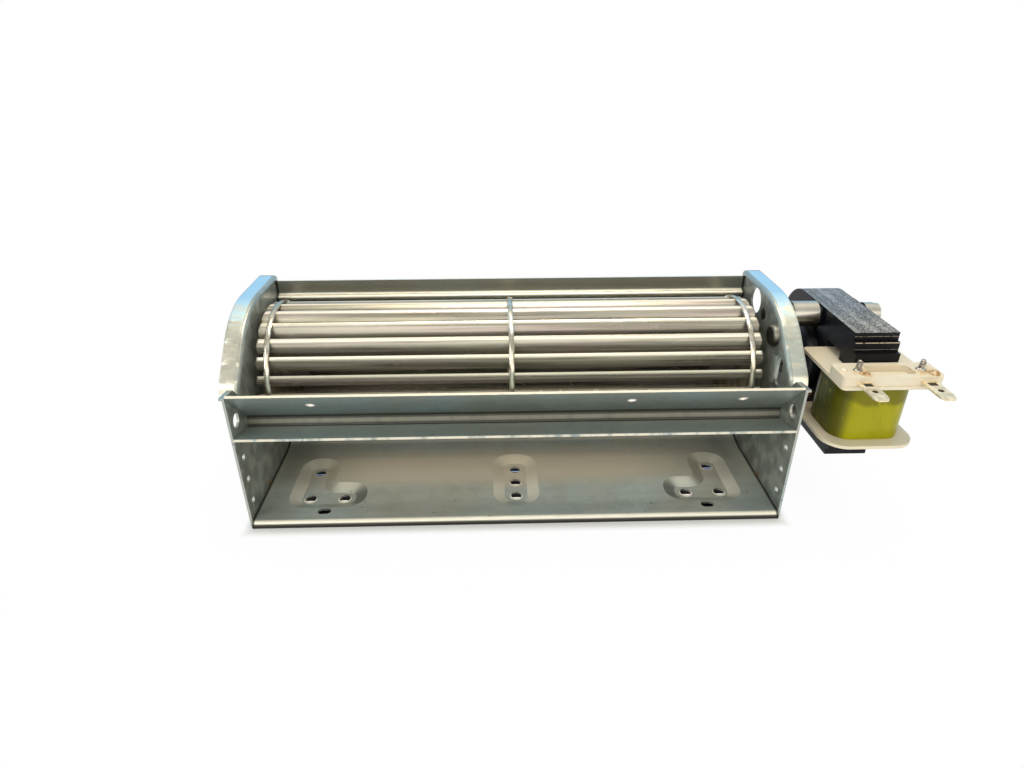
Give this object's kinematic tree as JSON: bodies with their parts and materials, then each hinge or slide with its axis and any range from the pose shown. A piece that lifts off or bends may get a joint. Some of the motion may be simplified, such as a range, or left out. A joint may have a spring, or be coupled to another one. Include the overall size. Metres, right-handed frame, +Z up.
{
  "type": "cross flow fan",
  "caption": "Cross flow fan: folded steel scroll housing, drum impeller with forward curved blades and a shaded pole motor outboard of one end plate.",
  "frame": {"origin": "centre of the four outer base holes, on the plane of the feet", "axes": "+X along the impeller towards the motor, -Y towards the air outlet, +Z up"},
  "size_m": [0.2866, 0.1051, 0.0832],
  "materials": {
    "galvanised_sheet": "galvanised, faint spangle",
    "blade_metal": "bright mill finish",
    "turned_steel": "turned",
    "black_steel": "black oxide",
    "sintered_bronze": "sintered, matt",
    "black_rubber": "matt",
    "washer_plastic": "matt",
    "rotor_cast": "cast and ground",
    "varnished_laminations": "black varnish over stacked sheets",
    "copper": "bare copper",
    "cast_bracket": "die cast, satin",
    "plated_steel": "zinc plated",
    "cream_plastic": "moulded, satin",
    "enamelled_wire": "enamelled",
    "olive_tape": "glossy film tape",
    "tinned_brass": "tin plated"
  },
  "bodies": {
    "housing": {"coil_bobbin": "cream_plastic", "coil_core": "varnished_laminations", "coil_tape": "olive_tape", "coil_winding": "enamelled_wire", "front_channel": "galvanised_sheet", "inner_bearing": "sintered_bronze", "inner_bracket": "cast_bracket", "left_bush": "sintered_bronze", "left_end_plate": "galvanised_sheet", "left_grommet": "black_rubber", "left_terminal": "tinned_brass", "motor_screws": "plated_steel", "outer_bearing": "sintered_bronze", "outer_bracket": "cast_bracket", "plate_stud": "plated_steel", "right_end_plate": "galvanised_sheet", "right_terminal": "tinned_brass", "screw_collars": "plated_steel", "scroll_sheet": "galvanised_sheet", "shading_rings": "copper", "standoffs": "plated_steel", "stator_yoke": "varnished_laminations"},
    "impeller": {"impeller_blades": "blade_metal", "left_end_disc": "blade_metal", "right_end_disc": "blade_metal", "middle_ring": "blade_metal", "left_hub": "turned_steel", "right_hub": "turned_steel", "hub_screw": "black_steel", "left_thrust_washer": "washer_plastic", "motor_shaft": "turned_steel", "rotor": "rotor_cast"}
  },
  "joints": [
    {"name": "impeller_spin", "type": "hinge", "parent": "housing", "child": "impeller", "pos_m": [0, 0.0285, 0.0487], "axis": [1, 0, 0], "continuous": true}
  ]
}
